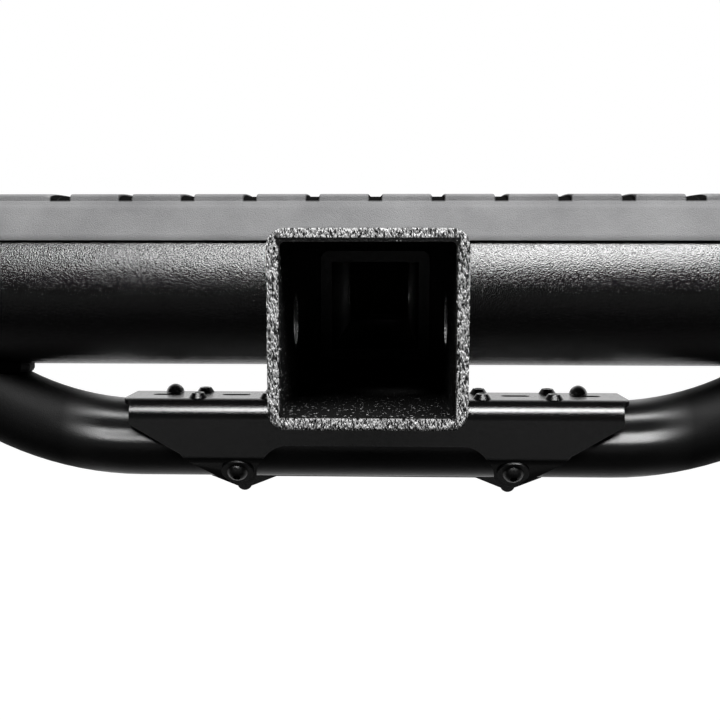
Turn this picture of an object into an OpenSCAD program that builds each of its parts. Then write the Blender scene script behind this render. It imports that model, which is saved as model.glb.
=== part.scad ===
// Hitch receiver step in millimetres.
// A square shank carries a receiver tube, a round step bar with a moulded
// tread pad lies across it, and a bent rung with a folded tread hangs below.
// The origin is the hitch pin's axis at the middle of the shank. +X points
// right as seen from behind, +Y towards the vehicle and +Z up.

/* [Shank] */
// Outside width and height of the square shank
shank_w = 50.8; // [40:0.1:63.5]
// Wall of the shank
shank_wall = 5; // [3:0.25:8]
// Outside corner radius of the shank
shank_corner_r = 4; // [2:0.25:6]
// Length of the shank from the pin's axis to the end in the vehicle
shank_front = 45; // [25:1:120]
// Length of the shank from the bar's centre plane back into the receiver
shank_seat = 22; // [5:1:80]
// Diameter of the hitch pin's holes
pin_d = 16.5; // [12:0.1:20]

/* [Receiver tube] */
// Gap between the shank and each inner side of the receiver
socket_gap = 0.6; // [0.3:0.05:1]
// Wall of the receiver tube
receiver_wall = 4; // [3:0.1:6]
// Outside corner radius of the receiver tube
receiver_corner_r = 5.5; // [4.5:0.1:9]
// Length of the receiver from the bar's centre plane to its mouth
mouth_reach = 189; // [150:1:260]
// Length of the receiver from the bar's centre plane towards the vehicle
receiver_tail = 50; // [47:1:90]
// Distance from the mouth to the receiver's pin holes
mouth_to_pin = 50; // [35:1:90]
// Bevel round the inner edge of the mouth
mouth_bevel = 0.8; // [0.3:0.1:1.5]

/* [Step bar] */
// Distance from the hitch pin's axis to the bar's centre plane
pin_to_bar = 188; // [150:1:260]
// Outside diameter of the step bar
bar_d = 76.2; // [70:0.1:88]
// Wall of the step bar
bar_wall = 3; // [2:0.1:5]
// Length of the step bar
bar_len = 640; // [560:1:900]
// Rim of an end plug, beyond the end of the bar
plug_rim = 3; // [1.5:0.1:5]
// Height of an end plug's dome over its rim
plug_dome = 6; // [2:0.25:10]
// Length of an end plug's skirt inside the bar
plug_skirt = 22; // [10:1:40]

/* [Tread pad] */
// Length of the tread pad
pad_len = 380; // [352:1:500]
// Width of the pad's flat top
pad_top_w = 50; // [40:0.5:56]
// Thickness of the pad over the top of the bar, without the blocks
pad_crown = 2.2; // [2:0.1:4]
// Height of the tread blocks along the middle of the pad
block_h = 4.3; // [2.5:0.1:6]
// Height of the blocks' middle over their ends, along the arched top
block_camber = 1.3; // [0.4:0.1:2]
// Distance from the top of the bar down to the pad's lips
pad_wrap = 16.1; // [12:0.1:22]
// Thickness of the pad's lips
lip_t = 2.4; // [1.8:0.1:4]
// Wall of the pad where it is hollow
pad_wall = 2.6; // [2:0.1:3.5]
// Distance between neighbouring grooves
groove_pitch = 29; // [24:0.5:30]
// Number of grooves across the pad
groove_count = 11; // [5:2:11]
// Width of a groove at its floor
groove_w = 4.4; // [2:0.1:8]
// Width that each sloped side adds to a groove at its top
groove_flare = 1.4; // [0.4:0.1:3]
// Length of the ramp outside the two end grooves
ramp_len = 9; // [4:0.5:14]
// Diameter of the recess for a pad screw
screw_recess_d = 12.5; // [11:0.1:18]

/* [Lower rung] */
// Outside diameter of the rung
rung_d = 38.1; // [32:0.1:42]
// Wall of the rung
rung_wall = 2.5; // [1.5:0.1:4]
// Free height between the bar's underside and the folded tread
step_gap = 15.5; // [12:0.5:60]
// Length of the rung's straight middle
rung_straight = 232; // [200:1:260]
// Radius of the rung's bends at its centre line
rung_bend_r = 148; // [110:1:220]

/* [Folded tread] */
// Length of the folded tread along the rung
tread_len = 236; // [216:1:300]
// Thickness of the sheet
sheet_t = 2; // [1.5:0.1:3]
// Gap between the sheet and the rung
sheet_gap = 0.2; // [0.15:0.05:0.6]
// Outside radius of the sheet's two long folds
fold_r = 9; // [5:0.1:10]
// Length by which the tread's top stands out over each end of the front flange
plate_over = 4; // [2:0.5:8]
// Distance from the middle to each ear
ear_x = 66.5; // [58:0.5:72]
// Radius of an ear's round tip
ear_r = 9; // [8:0.1:10]
// Slope of the ear screws below level, round the rung
ear_slope = 40; // [35:1:48]
// Distance down an ear's flap from its screw to the middle of its round tip
ear_reach = 2; // [1:0.1:4]
// Inside radius of the bend between the front flange and the ears' flaps
ear_bend_r = 3; // [2:0.25:6]
// Height of the arch over the ear screws, measured across their axis
arch_rise = 13.3; // [8:0.1:14]
// Height over the ear screws at which the sloped ends of the front flange start
shoulder_rise = 21; // [16:0.5:21.5]
// Height over the ear screws of the bend in those slopes
waist_rise = 10; // [6:0.5:14]
// Distance from an ear screw to that bend
waist_run = 27; // [22:0.5:36]
// Depth of the rear skirt below the tread's top
skirt_depth = 45.5; // [40:0.5:60]
// Depth of the rear lugs below the rear skirt
lug_depth = 7.5; // [4:0.25:12]
// Radius of a rear lug's tip
lug_tip_r = 4; // [2:0.25:6]
// Distance from a rear lug's tip to the foot of its slopes
lug_flank = 17; // [12:0.5:25]
// Distance from the middle to each rear lug
lug_x = 68.5; // [50:0.5:80]
// Distance between neighbouring slots and dimples along the tread
grip_pitch = 17.3; // [15:0.1:19]
// Length of a grip slot
slot_len = 14; // [8:0.25:16]
// Width of a grip slot
slot_w = 5; // [3:0.25:6]
// Diameter of a dimple at its foot
dimple_d = 9; // [6:0.1:9.5]
// Height of a dimple
dimple_h = 2.4; // [1:0.1:3]
// Distance of the two rows of dimples from the tread's middle line
dimple_row = 10; // [8:0.25:11]

/* [Fasteners] */
// Thread diameter of the ear screws
ear_screw_d = 6; // [4:0.5:7]
// Head diameter of the ear screws
ear_head_d = 10.2; // [8:0.1:10.5]
// Thread diameter of the tread screws
tread_screw_d = 4.2; // [3:0.1:5]
// Head diameter of the tread screws
tread_head_d = 9; // [7:0.1:11]
// Thread diameter of the pad screws
pad_screw_d = 4.8; // [4:0.1:6]
// Head diameter of the pad screws
pad_head_d = 9.6; // [8:0.1:10.5]
// Gap between a screw and the hole that it passes
hole_gap = 0.25; // [0.1:0.05:0.5]

/* [Welds] */
// Width of a weld bead's face
bead_w = 6; // [4:0.25:8]
// Gap that is left between a solid and the piece that it touches
seam = 0.1; // [0.05:0.01:0.15]

/* [Hidden] */
$fn = 72;
cut = 1;

bar_y = -pin_to_bar;
bar_r = bar_d / 2;
mouth_y = bar_y - mouth_reach;
tail_y = bar_y + receiver_tail;
socket_w = shank_w + 2 * socket_gap;
receiver_w = socket_w + 2 * receiver_wall;
socket_corner_r = max(0.5, receiver_corner_r - receiver_wall);
bar_z = bar_r - receiver_w / 2;
shank_rear_y = bar_y - shank_seat;
shank_bore_w = shank_w - 2 * shank_wall;
shank_bore_r = max(0.5, shank_corner_r - shank_wall);
shank_plug_rim = 2.5;
shank_plug_skirt = 16;
plug_slack = 0.6;
plug_wall = 3;
plug_rib = 0.5;
receiver_pin_y = mouth_y + mouth_to_pin;

rung_r = rung_d / 2;
sheet_in_r = rung_r + sheet_gap;
sheet_out_r = sheet_in_r + sheet_t;
tread_z = bar_z - bar_r - step_gap;
rung_z = tread_z - sheet_out_r;
bend_z = rung_z + rung_bend_r;
bend_x = rung_straight / 2;
bend_turn = acos((bend_z - bar_z + bar_r - cut) / (rung_bend_r + rung_r)) + 1;

dimple_tip_d = dimple_d - 1.4 * dimple_h;
dimple_skin = 1.1;

pad_in_r = bar_r + seam;
pad_body_h = bar_r + pad_crown;
pad_top_h = pad_body_h + block_h;
lip_h = bar_r - pad_wrap;
lip_y = sqrt(pad_in_r * pad_in_r - lip_h * lip_h) + lip_t;
lip_face = 0.6;
pad_top_y = pad_top_w / 2;
block_set = 0.9;
block_edge = 0.8;
groove_last = (groove_count - 1) / 2;
border_x = (groove_last * groove_pitch + ramp_len + pad_len / 2) / 2;
pad_screw_x = [-border_x, -2.5 * groove_pitch, 2.5 * groove_pitch, border_x];
pad_screw_len = 20;
pad_head_h = 2.4;
end_slope = 5;
rib_t = 2.4;
notch_half = receiver_w / 2 + bead_w + 0.5;
notch_top = receiver_w / 2 + bead_w * 0.8;

grip_last = 2 * floor((tread_len / 2 - slot_len) / grip_pitch / 2);
tread_screw_x = grip_last * grip_pitch - 1.8;
tread_head_h = 4;
tread_screw_len = 14;
washer_t = 1;
washer_d = ear_head_d + 5.3;
ear_head_h = 3.4;
ear_screw_len = 14;
nut_d = ear_screw_d + 3;
nut_len = 11;

// Holes in the bar's underside, inside the rung's joints, that let the coating drain
rung_drain_d = 9;
rung_drain_x = seam_point(90)[0] + 2;

black = [0.12, 0.12, 0.13];
black_light = [0.2, 0.2, 0.21];
plastic_grey = [0.62, 0.62, 0.63];
plastic_black = [0.07, 0.07, 0.07];
zinc = [0.5, 0.5, 0.5];

// Unit vector along v
function unit(v) = v / norm(v);

// What is left of v when its share along the unit vector n is taken away
function across(v, n) = unit(v - (v * n) * n);

// Flat square of width w with round corners of radius r
module round_square(w, r) {
    square([w, w - 2 * r], center = true);
    square([w - 2 * r, w], center = true);
    for (x = [-1, 1], y = [-1, 1]) {
        translate([x * (w / 2 - r), y * (w / 2 - r)]) circle(r = r);
    }
}

// Square bar with round corners that lies along Y from y0 to y1
module square_bar(w, r, y0, y1) {
    translate([0, y1, 0]) rotate([90, 0, 0]) linear_extrude(y1 - y0) round_square(w, r);
}

// Four-sided cone round the Y axis, of width w at y0 and 0 at its tip, as the bevel of a square hole
module bevel_cone(w, y0, depth) {
    far = w / 2 + depth;
    for (turn = [0, 90, 180, 270]) {
        rotate([0, turn, 0]) translate([-w / 2, y0, 0]) rotate([90, 0, 90])
            linear_extrude(w)
                polygon([[-cut, far + cut], [depth, w / 2], [depth, w / 2 - cut], [-cut, w / 2 - cut]]);
    }
}

// Round bar along X through the hitch pin's height
module pin_hole(y) {
    translate([0, y, 0]) rotate([0, 90, 0]) cylinder(d = pin_d, h = 2 * receiver_w, center = true);
}

// Round bar along X on the step bar's axis
module bar_core(r, len) {
    translate([0, bar_y, bar_z]) rotate([0, 90, 0]) cylinder(r = r, h = len, center = true);
}

// Square receiver tube with its pin holes and a bevelled mouth
module receiver_tube() {
    color(black_light)
    difference() {
        square_bar(receiver_w, receiver_corner_r, mouth_y, tail_y);
        square_bar(socket_w, socket_corner_r, mouth_y - cut, tail_y + cut);
        bevel_cone(socket_w - 2 * socket_corner_r, mouth_y, mouth_bevel);
        pin_hole(receiver_pin_y);
    }
}

// Square shank that goes into the vehicle's receiver
module hitch_shank() {
    color(black)
    difference() {
        square_bar(shank_w, shank_corner_r, shank_rear_y, shank_front);
        square_bar(shank_bore_w, shank_bore_r, shank_rear_y - cut, shank_front + cut);
        pin_hole(0);
    }
}

// Moulded plug in the vehicle end of the shank: a rim, a hollow skirt and two ribs on it
module shank_plug() {
    inner = shank_bore_w - 2 * seam;
    skirt_w = inner - 2 * plug_rib;
    rim_y = shank_front + seam;
    end_y = shank_front - shank_plug_skirt;
    color(plastic_black)
    difference() {
        union() {
            square_bar(shank_w - plug_slack, shank_corner_r, rim_y, rim_y + shank_plug_rim);
            square_bar(skirt_w, shank_bore_r, end_y, rim_y + shank_plug_rim / 2);
            for (k = [1, 2]) {
                rib_y = shank_front - k * shank_plug_skirt / 3;
                square_bar(inner, shank_bore_r, rib_y - 1, rib_y);
            }
        }
        square_bar(skirt_w - 2 * plug_wall, shank_bore_r, end_y - cut, shank_front - 1);
    }
}

// Round step bar, notched from below over the receiver, with the pad screws' pilot holes
module main_tube() {
    notch_w = receiver_w + 2 * seam;
    notch_r = receiver_corner_r + seam;
    color(black)
    difference() {
        bar_core(bar_r, bar_len);
        bar_core(bar_r - bar_wall, bar_len + 2 * cut);
        square_bar(notch_w, notch_r, bar_y - bar_r - cut, bar_y + bar_r + cut);
        translate([0, bar_y, -notch_w]) cube([notch_w, bar_d + 2 * cut, 2 * notch_w], center = true);
        for (x = pad_screw_x) {
            translate([x, bar_y, bar_z]) cylinder(d = pad_screw_d + 2 * hole_gap, h = bar_r + cut);
        }
        for (side = [-1, 1]) {
            translate([side * rung_drain_x, bar_y, bar_z - bar_r - cut])
                cylinder(d = rung_drain_d, h = bar_wall + 2 * cut);
        }
    }
}

// Moulded plug in an end of the step bar, for the right end: a domed rim, a skirt and grip ribs
module end_plug() {
    skirt_r = bar_r - bar_wall - plug_slack;
    dome_r = (bar_r * bar_r + plug_dome * plug_dome) / (2 * plug_dome);
    translate([bar_len / 2 + seam, bar_y, bar_z]) rotate([0, 90, 0])
    difference() {
        union() {
            cylinder(r = bar_r, h = plug_rim);
            intersection() {
                translate([0, 0, plug_rim + plug_dome - dome_r]) sphere(r = dome_r, $fn = 96);
                cylinder(r = bar_r, h = plug_rim + plug_dome + cut);
            }
            translate([0, 0, -plug_skirt]) cylinder(r = skirt_r, h = plug_skirt + cut);
            for (k = [1, 2, 3]) {
                translate([0, 0, -k * plug_skirt / 4 - 1]) cylinder(r = skirt_r + plug_rib, h = 2);
            }
        }
        translate([0, 0, -plug_skirt - cut]) cylinder(r = skirt_r - plug_wall, h = plug_skirt + cut + 1);
    }
}

module end_cap_left() {
    color(plastic_black) mirror([1, 0, 0]) end_plug();
}

module end_cap_right() {
    color(plastic_black) end_plug();
}

// Section of the pad's body, with sloped sides between its flat top and its lips
module pad_section() {
    shoulder = pad_top_y + block_set;
    polygon([
        [-lip_y, lip_h], [-lip_y, lip_h + lip_face], [-shoulder, pad_body_h],
        [shoulder, pad_body_h], [lip_y, lip_h + lip_face], [lip_y, lip_h]
    ]);
}

// Section of the layer that the grooves cut into blocks, with bevelled long edges and an arched top
module block_section() {
    low = pad_body_h - seam;
    edge = pad_top_h - block_camber;
    flat = pad_top_y - block_edge;
    top_r = (flat * flat + block_camber * block_camber) / (2 * block_camber);
    polygon([
        [-pad_top_y, low], [-pad_top_y, edge - block_edge], [-flat, edge],
        [flat, edge], [pad_top_y, edge - block_edge], [pad_top_y, low]
    ]);
    intersection() {
        translate([0, pad_top_h - top_r]) circle(r = top_r, $fn = 360);
        translate([-flat, low]) square([2 * flat, 2 * block_h]);
    }
}

// Runs a section, drawn in Y and Z about the step bar's axis, from x0 to x1
module along_bar(x0, x1) {
    translate([x0, bar_y, bar_z]) rotate([90, 0, 90]) linear_extrude(x1 - x0) children();
}

// Groove of sloped sides across the pad, drawn for the groove at x
module groove(x) {
    foot = groove_w / 2;
    mouth = foot + groove_flare;
    over = cut / block_h;
    high = block_h + cut;
    at_end = abs(x) > (groove_last - 0.5) * groove_pitch;
    out = at_end ? ramp_len + foot : mouth;
    translate([x, bar_y + bar_d, bar_z + pad_body_h])
        mirror([x < 0 ? 1 : 0, 0, 0]) rotate([90, 0, 0]) linear_extrude(2 * bar_d)
            polygon([
                [-foot, 0], [foot, 0], [out + over * (out - foot), high], [-mouth - over * groove_flare, high]
            ]);
}

// Hollow between two ribs under the pad's shoulders, from x0 to x1
module pad_pocket(x0, x1) {
    slope = (lip_y - pad_top_y - block_set) / (pad_body_h - lip_h - lip_face);
    low = lip_h + lip_face + 2 * pad_wall;
    high = pad_body_h - pad_wall;
    low_y = lip_y - pad_wall * (1 + 2 * slope);
    high_y = low_y - (high - low) * slope;
    along_bar(x0, x1) polygon([[-low_y, low], [-high_y, high], [high_y, high], [low_y, low]]);
}

// Moulded tread pad: a hollow ribbed shell that clips over the bar, with grooves and screw recesses
module step_pad() {
    half = pad_len / 2;
    bays = (groove_count - 1) / 2;
    first_x = notch_half + pad_wall;
    bay = (half - end_slope - pad_wall - first_x) / bays;
    color(plastic_grey)
    difference() {
        union() {
            along_bar(-half, half) pad_section();
            along_bar(-half, half) block_section();
        }
        bar_core(pad_in_r, pad_len + 2 * cut);
        for (k = [-groove_last : groove_last]) {
            groove(k * groove_pitch);
        }
        for (side = [0, 1]) {
            mirror([side, 0, 0]) translate([half, bar_y + bar_d, bar_z]) rotate([90, 0, 0])
                linear_extrude(2 * bar_d) polygon([
                    [-end_slope, pad_top_h + cut], [cut, pad_top_h + cut],
                    [cut, lip_h - cut], [0, lip_h - cut]
                ]);
        }
        for (side = [0, 1], k = [0 : bays - 1]) {
            mirror([side, 0, 0]) pad_pocket(first_x + k * bay, first_x + (k + 1) * bay - rib_t);
        }
        translate([0, bar_y, 0]) cube([2 * notch_half, 2 * bar_d, 2 * notch_top], center = true);
        for (x = pad_screw_x) {
            translate([x, bar_y, bar_z]) cylinder(d = pad_screw_d + 2 * hole_gap, h = pad_top_h + cut);
            translate([x, bar_y, bar_z + pad_body_h]) cylinder(d = screw_recess_d, h = block_h + cut);
        }
    }
}

// Round-headed screw with a socket, its head's underside at z = 0 and its thread below
module round_screw(thread_d, head_d, head_h, len, socket_d) {
    dome_r = (head_d * head_d / 4 + head_h * head_h) / (2 * head_h);
    difference() {
        union() {
            intersection() {
                translate([0, 0, head_h - dome_r]) sphere(r = dome_r);
                cylinder(d = head_d, h = head_h + cut);
            }
            translate([0, 0, -len + 1]) cylinder(d = thread_d, h = len - 1 + head_h / 2);
            translate([0, 0, -len]) cylinder(d1 = thread_d - 1.4, d2 = thread_d, h = 1);
        }
        translate([0, 0, head_h * 0.4]) cylinder(d = socket_d, h = head_h, $fn = 6);
    }
}

// Four screws that hold the pad on the bar
module pad_screws() {
    color(zinc)
    for (x = pad_screw_x) {
        translate([x, bar_y, bar_z + pad_body_h + seam])
            round_screw(pad_screw_d, pad_head_d, pad_head_h, pad_screw_len, pad_screw_d * 0.6);
    }
}

// Solid bent bar on the rung's centre line, of radius r, up to the given turn of its bends
module rung_core(r, turn) {
    translate([0, bar_y, rung_z]) rotate([0, 90, 0]) cylinder(r = r, h = rung_straight, center = true);
    for (side = [0, 1]) {
        mirror([side, 0, 0]) translate([bend_x, bar_y, bend_z]) rotate([90, 0, 0]) rotate([0, 0, -90])
            rotate_extrude(angle = turn, $fn = 180) translate([rung_bend_r, 0]) circle(r = r);
    }
}

// Turns a piece that is drawn along Z so that its foot lies on the rung's axis at an ear
module at_ear(side) {
    translate([side * ear_x, bar_y, rung_z]) rotate([90 + ear_slope, 0, 0]) children();
}

// Rung of round tube, bent up at both ends and cut to lie against the step bar
module lower_tube() {
    color(black)
    difference() {
        rung_core(rung_r, bend_turn);
        rung_core(rung_r - rung_wall, bend_turn + 1);
        bar_core(bar_r + seam, bar_len);
        for (side = [-1, 1]) {
            at_ear(side) cylinder(d = nut_d + 2 * hole_gap, h = rung_d);
            translate([side * tread_screw_x, bar_y + dimple_row, rung_z])
                cylinder(d = tread_screw_d + 2 * hole_gap, h = rung_d);
        }
    }
}

// Quarter ring of the sheet about a corner of its section
module fold_ring(corner, quarter) {
    translate(corner) intersection() {
        difference() {
            circle(r = fold_r);
            circle(r = fold_r - sheet_t);
        }
        square_at(quarter);
    }
}

// Large square that fills one quarter of the plane, x and y being its signs
module square_at(quarter) {
    mirror([quarter[0] < 0 ? 1 : 0, 0]) mirror([0, quarter[1] < 0 ? 1 : 0]) square(2 * fold_r);
}

// Point of the ears' flat flap in Y and Z about the rung's axis, r from that axis along the
// ear screw and t down the flap from the screw
function on_flap(r, t) =
    [t * sin(ear_slope) - r * cos(ear_slope), -r * sin(ear_slope) - t * cos(ear_slope)];

// Arc of radius r, from one angle to another below level, about the middle of the ears' bend
function bend_arc(r, start, end) =
    let (middle = (ear_bend_r - sheet_in_r) * [1, tan(ear_slope / 2)], step = (end - start) / 6)
    [for (k = [0 : 6]) middle - r * [cos(start + k * step), sin(start + k * step)]];

// Section of the folded sheet in Y and Z about the rung's axis
module sheet_section() {
    fold = sheet_out_r - fold_r;
    rear_low = sheet_out_r - skirt_depth - lug_depth - cut;
    ear_end = ear_reach + ear_r + cut;
    translate([-fold, sheet_in_r]) square([2 * fold, sheet_t]);
    fold_ring([-fold, fold], [-1, 1]);
    fold_ring([fold, fold], [1, 1]);
    translate([sheet_in_r, rear_low]) square([sheet_t, fold - rear_low]);
    polygon(concat(
        [[-sheet_in_r, fold], [-sheet_out_r, fold]], bend_arc(ear_bend_r + sheet_t, 0, ear_slope),
        [on_flap(sheet_out_r, ear_end), on_flap(sheet_in_r, ear_end)], bend_arc(ear_bend_r, ear_slope, 0)
    ));
}

// Outline of the folded sheet from above, whose top stands out over the front flange's ends
module plan_outline() {
    half = tread_len / 2;
    fold = sheet_out_r - fold_r;
    translate([-half, -sheet_out_r - cut]) square([2 * half, 2 * sheet_out_r]);
    translate([-half - plate_over, -fold]) square([2 * (half + plate_over), fold + sheet_out_r + cut]);
    for (side = [-1, 1]) {
        translate([side * half, -fold]) circle(r = plate_over);
    }
}

// Outline of the front flange in X and in height across the ear screws' axis:
// sloped ends, an arch in the middle and two ears with round tips
module front_outline() {
    half = tread_len / 2 + plate_over + cut;
    top = 2 * sheet_out_r;
    waist_x = ear_x + waist_run;
    corner_r = arch_rise + ear_reach;
    inner_x = ear_x - ear_r;
    tip = atan2(waist_rise + ear_reach, waist_run) - acos(ear_r / norm([waist_run, waist_rise + ear_reach]));
    tip_x = ear_x + ear_r * cos(tip);
    tip_low = ear_r * sin(tip) - ear_reach;
    difference() {
        union() {
            polygon([
                [-half, top], [-half, shoulder_rise], [-tread_len / 2, shoulder_rise], [-waist_x, waist_rise],
                [-tip_x, tip_low], [-ear_x, -ear_reach], [ear_x, -ear_reach], [tip_x, tip_low],
                [waist_x, waist_rise], [tread_len / 2, shoulder_rise], [half, shoulder_rise], [half, top]
            ]);
            for (side = [-1, 1]) {
                translate([side * ear_x, -ear_reach]) circle(r = ear_r);
            }
        }
        translate([corner_r - inner_x, -ear_reach - cut]) square([2 * (inner_x - corner_r), corner_r + cut]);
        translate([-inner_x, -ear_reach - ear_r - cut]) square([2 * inner_x, ear_r + cut]);
        for (side = [-1, 1]) {
            translate([side * (inner_x - corner_r), -ear_reach]) circle(r = corner_r);
        }
    }
}

// Outline of the rear skirt in X and Z about the rung's axis, with a round-tipped lug under each side
module rear_outline() {
    half = tread_len / 2 + plate_over + cut;
    low = sheet_out_r - skirt_depth;
    shoulder = sheet_out_r - fold_r - 3;
    tip_low = 0.6 * lug_tip_r - lug_depth;
    polygon([
        [-half, 2 * sheet_out_r], [-half, shoulder], [-lug_x - lug_flank, low], [lug_x + lug_flank, low],
        [half, shoulder], [half, 2 * sheet_out_r]
    ]);
    for (side = [-1, 1]) {
        translate([side * lug_x, low]) {
            polygon([[-lug_flank, seam], [-lug_tip_r, tip_low], [lug_tip_r, tip_low], [lug_flank, seam]]);
            translate([0, lug_tip_r - lug_depth]) circle(r = lug_tip_r);
        }
    }
}

// What the front outline takes off the sheet below its front fold
module front_waste() {
    reach = 3 * sheet_out_r;
    intersection() {
        translate([0, bar_y, rung_z]) rotate([90, 0, 90]) linear_extrude(2 * tread_len, center = true)
            translate([-reach, -reach]) {
                square([reach - sheet_out_r + fold_r, reach + sheet_out_r - fold_r + 2]);
                square(reach);
            }
        translate([0, bar_y, rung_z]) rotate([90 + ear_slope, 0, 0]) linear_extrude(reach)
        difference() {
            square([2 * tread_len, 4 * reach], center = true);
            front_outline();
        }
    }
}

// What the rear outline takes off the sheet below its rear fold
module rear_waste() {
    reach = 3 * sheet_out_r;
    translate([0, bar_y + sheet_out_r + cut, rung_z]) rotate([90, 0, 0]) linear_extrude(fold_r)
    difference() {
        translate([-tread_len, -reach]) square([2 * tread_len, reach + sheet_out_r - fold_r]);
        rear_outline();
    }
}

// Hollow under a dimple, which is its outside lowered by the sheet, and the hole in its top
module dimple_hole() {
    below = 0.5;
    flare = (dimple_d - dimple_tip_d) / dimple_h;
    hole_d = dimple_tip_d - 2 * dimple_skin;
    translate([0, 0, -sheet_t - below])
        cylinder(d1 = dimple_d + below * flare, d2 = dimple_tip_d, h = dimple_h + below);
    translate([0, 0, -2 * sheet_t]) cylinder(d = hole_d, h = 4 * sheet_t + dimple_h);
}

// Centres of the dimples on the tread, between the slots
module at_dimples() {
    for (k = [1 - grip_last : 2 : grip_last - 1], row = [-1, 1]) {
        translate([k * grip_pitch, bar_y + row * dimple_row, tread_z]) children();
    }
}

// Folded sheet over the rung, with grip slots and dimples on top and two ears in front
module tread_bracket() {
    color(black_light)
    difference() {
        union() {
            intersection() {
                translate([0, bar_y, rung_z]) rotate([90, 0, 90])
                    linear_extrude(2 * tread_len, center = true) sheet_section();
                translate([0, bar_y, rung_z]) linear_extrude(4 * skirt_depth, center = true) plan_outline();
            }
            at_dimples() cylinder(d1 = dimple_d, d2 = dimple_tip_d, h = dimple_h);
        }
        at_dimples() dimple_hole();
        for (k = [-grip_last : 2 : grip_last]) {
            translate([k * grip_pitch, bar_y, tread_z])
                cube([slot_len - slot_w, slot_w, 4 * sheet_t], center = true);
            for (side = [-1, 1]) {
                translate([k * grip_pitch + side * (slot_len - slot_w) / 2, bar_y, tread_z])
                    cylinder(d = slot_w, h = 4 * sheet_t, center = true);
            }
        }
        front_waste();
        rear_waste();
        for (side = [-1, 1]) {
            at_ear(side) cylinder(d = ear_screw_d + 2 * hole_gap, h = 2 * rung_d);
            translate([side * tread_screw_x, bar_y + dimple_row, rung_z])
                cylinder(d = tread_screw_d + 2 * hole_gap, h = rung_d);
        }
    }
}

// Low screw in the rear row of the tread
module tread_screw(side) {
    translate([side * tread_screw_x, bar_y + dimple_row, tread_z + seam])
        round_screw(tread_screw_d, tread_head_d, tread_head_h, tread_screw_len, tread_screw_d * 0.6);
}

module tread_screw_left() {
    color(black) tread_screw(-1);
}

module tread_screw_right() {
    color(black) tread_screw(1);
}

// Washer under an ear screw
module ear_washer(side) {
    at_ear(side) translate([0, 0, sheet_out_r + seam]) difference() {
        cylinder(d = washer_d, h = washer_t);
        translate([0, 0, -cut]) cylinder(d = ear_screw_d + 2 * hole_gap, h = washer_t + 2 * cut);
    }
}

module ear_washer_left() {
    color(zinc) ear_washer(-1);
}

module ear_washer_right() {
    color(zinc) ear_washer(1);
}

// Screw through an ear into the rung
module ear_screw(side) {
    at_ear(side) translate([0, 0, sheet_out_r + washer_t + 2 * seam])
        round_screw(ear_screw_d, ear_head_d, ear_head_h, ear_screw_len, ear_screw_d * 0.66);
}

module ear_screw_left() {
    color(black) ear_screw(-1);
}

module ear_screw_right() {
    color(black) ear_screw(1);
}

// Rivet nut in the rung's wall, with the bulge that grips the wall from inside
module rivet_nut(side) {
    grip = sqrt(pow(rung_r - rung_wall, 2) - pow(nut_d / 2 + 1.6, 2)) - seam;
    at_ear(side) difference() {
        union() {
            translate([0, 0, rung_r - nut_len]) cylinder(d = nut_d, h = nut_len - seam);
            translate([0, 0, grip - 2]) cylinder(d = nut_d + 3.2, h = 2);
        }
        translate([0, 0, rung_r - nut_len - cut])
            cylinder(d = ear_screw_d + 2 * seam, h = nut_len + 2 * cut);
    }
}

module rivet_nut_left() {
    color(zinc) rivet_nut(-1);
}

module rivet_nut_right() {
    color(zinc) rivet_nut(1);
}

// Corners of a weld bead's section at the root p, between a face with normal n1 that is left
// along a, and a face with normal n2 that is left along b
function bead_section(p, n1, n2, a, b) =
    let (
        root = p + 1.5 * seam * unit(n1 + n2),
        bulge = 0.16 * bead_w * unit(a + b - 2 * p)
    )
    [
        root, a, 0.8 * a + 0.2 * b + 0.7 * bulge, 0.5 * a + 0.5 * b + bulge,
        0.2 * a + 0.8 * b + 0.7 * bulge, b
    ];

// Length of a bead's leg where the directions t1 and t2 leave its root
function bead_leg(t1, t2) = min(1.6 * bead_w, bead_w / norm(t1 - t2));

// Solid through a row of sections of equal size, as a closed ring or with two ends
module sweep(sections, ring) {
    n = len(sections);
    m = len(sections[0]);
    last = ring ? n - 1 : n - 2;
    sides = [for (i = [0 : last], j = [0 : m - 1], half = [0, 1])
        let (i2 = (i + 1) % n, j2 = (j + 1) % m)
        half == 0 ? [i * m + j, i2 * m + j, i * m + j2] : [i2 * m + j, i2 * m + j2, i * m + j2]];
    ends = ring ? [] : [[for (j = [0 : m - 1]) j], [for (j = [m - 1 : -1 : 0]) (n - 1) * m + j]];
    polyhedron([for (s = sections) each s], concat(sides, ends));
}

// Point q moved onto the bar's skin, or by out beyond it
function on_bar(q, out) =
    let (d = unit([q[1] - bar_y, q[2] - bar_z]) * (bar_r + out))
    [q[0], bar_y + d[0], bar_z + d[1]];

// Point q moved onto the skin of the rung's right bend, or by out beyond it
function on_bend(q, out) =
    let (
        turn = atan2(q[0] - bend_x, bend_z - q[2]),
        reach = norm([q[0] - bend_x, q[2] - bend_z]),
        d = unit([reach - rung_bend_r, q[1] - bar_y]) * (rung_r + out),
        r = rung_bend_r + d[0]
    )
    [bend_x + r * sin(turn), bar_y + d[1], bend_z - r * cos(turn)];

// Turn of the rung's right bend at which its skin, at the angle a round its section, meets the bar
function seam_turn(a) =
    let (bar_low = bar_z - sqrt(bar_r * bar_r - pow(rung_r * sin(a), 2)))
    acos((bend_z - bar_low) / (rung_bend_r + rung_r * cos(a)));

// Point of the seam between the right bend and the bar, at the angle a round the rung's section
function seam_point(a) =
    let (turn = seam_turn(a), r = rung_bend_r + rung_r * cos(a))
    [bend_x + r * sin(turn), bar_y + rung_r * sin(a), bend_z - r * cos(turn)];

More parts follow.
